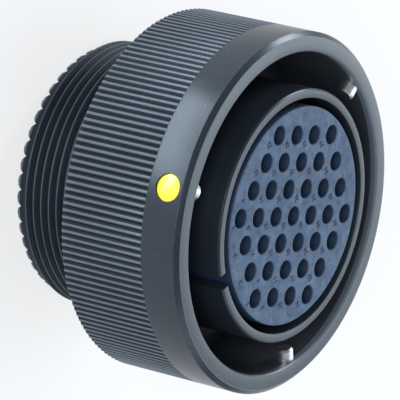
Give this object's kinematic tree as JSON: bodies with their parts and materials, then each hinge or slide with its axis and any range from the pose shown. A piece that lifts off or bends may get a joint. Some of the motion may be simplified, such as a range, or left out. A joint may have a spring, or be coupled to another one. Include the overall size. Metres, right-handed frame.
{
  "type": "twist-lock circular connector plug",
  "caption": "Circular plug with a knurled twist-lock coupling nut, bayonet pins in its bore, a keyed barrel, a toothed rear thread and a resilient insert of recessed sockets.",
  "frame": {"origin": "on the connector's axis at its rear end, where the tips of the anti-rotation teeth stand", "axes": "+Z is the mating direction, out of the insert's face; +X runs along the rows of contacts; +Y points at the barrel's keyway"},
  "size_m": [0.058, 0.0578, 0.039],
  "materials": {
    "shell_finish": "black conductive plating, satin",
    "nut_finish": "black plating, satin, fine straight knurl",
    "spring_steel": "rolled stainless spring steel",
    "pin_steel": "turned stainless steel",
    "seal_rubber": "matt moulded rubber",
    "insert_rubber": "blue-grey resilient insert, matt",
    "mark_paint": "yellow index mark, glossy",
    "contact_plating": "gold-plated copper alloy"
  },
  "bodies": {
    "plug": {"plug_shell": "shell_finish", "contact_insert": "insert_rubber", "insert_ring": "shell_finish", "shell_gasket": "seal_rubber", "snap_ring": "spring_steel", "wave_spring": "spring_steel", "socket_contact_01": "contact_plating", "socket_contact_02": "contact_plating", "socket_contact_03": "contact_plating", "socket_contact_04": "contact_plating", "socket_contact_05": "contact_plating", "socket_contact_06": "contact_plating", "socket_contact_07": "contact_plating", "socket_contact_08": "contact_plating", "socket_contact_09": "contact_plating", "socket_contact_10": "contact_plating", "socket_contact_11": "contact_plating", "socket_contact_12": "contact_plating", "socket_contact_13": "contact_plating", "socket_contact_14": "contact_plating", "socket_contact_15": "contact_plating", "socket_contact_16": "contact_plating", "socket_contact_17": "contact_plating", "socket_contact_18": "contact_plating", "socket_contact_19": "contact_plating", "socket_contact_20": "contact_plating", "socket_contact_21": "contact_plating", "socket_contact_22": "contact_plating", "socket_contact_23": "contact_plating", "socket_contact_24": "contact_plating", "socket_contact_25": "contact_plating", "socket_contact_26": "contact_plating", "socket_contact_27": "contact_plating", "socket_contact_28": "contact_plating", "socket_contact_29": "contact_plating", "socket_contact_30": "contact_plating", "socket_contact_31": "contact_plating", "socket_contact_32": "contact_plating", "socket_contact_33": "contact_plating", "socket_contact_34": "contact_plating", "socket_contact_35": "contact_plating", "socket_contact_36": "contact_plating", "socket_contact_37": "contact_plating"},
    "washer": {"thrust_washer": "spring_steel"},
    "nut": {"coupling_nut": "nut_finish", "bayonet_pin_1": "pin_steel", "bayonet_pin_2": "pin_steel", "bayonet_pin_3": "pin_steel", "index_mark": "mark_paint"}
  },
  "joints": [
    {"name": "nut_float", "type": "slide", "parent": "plug", "child": "washer", "axis": [0, 0, 1], "range_m": [0, 0.0012], "stiffness_N_per_m": 10000, "springref_m": -0.001, "deforming": ["wave_spring"]},
    {"name": "nut_turn", "type": "hinge", "parent": "washer", "child": "nut", "pos_m": [0, 0, 0.022], "axis": [0, 0, 1], "continuous": true}
  ]
}
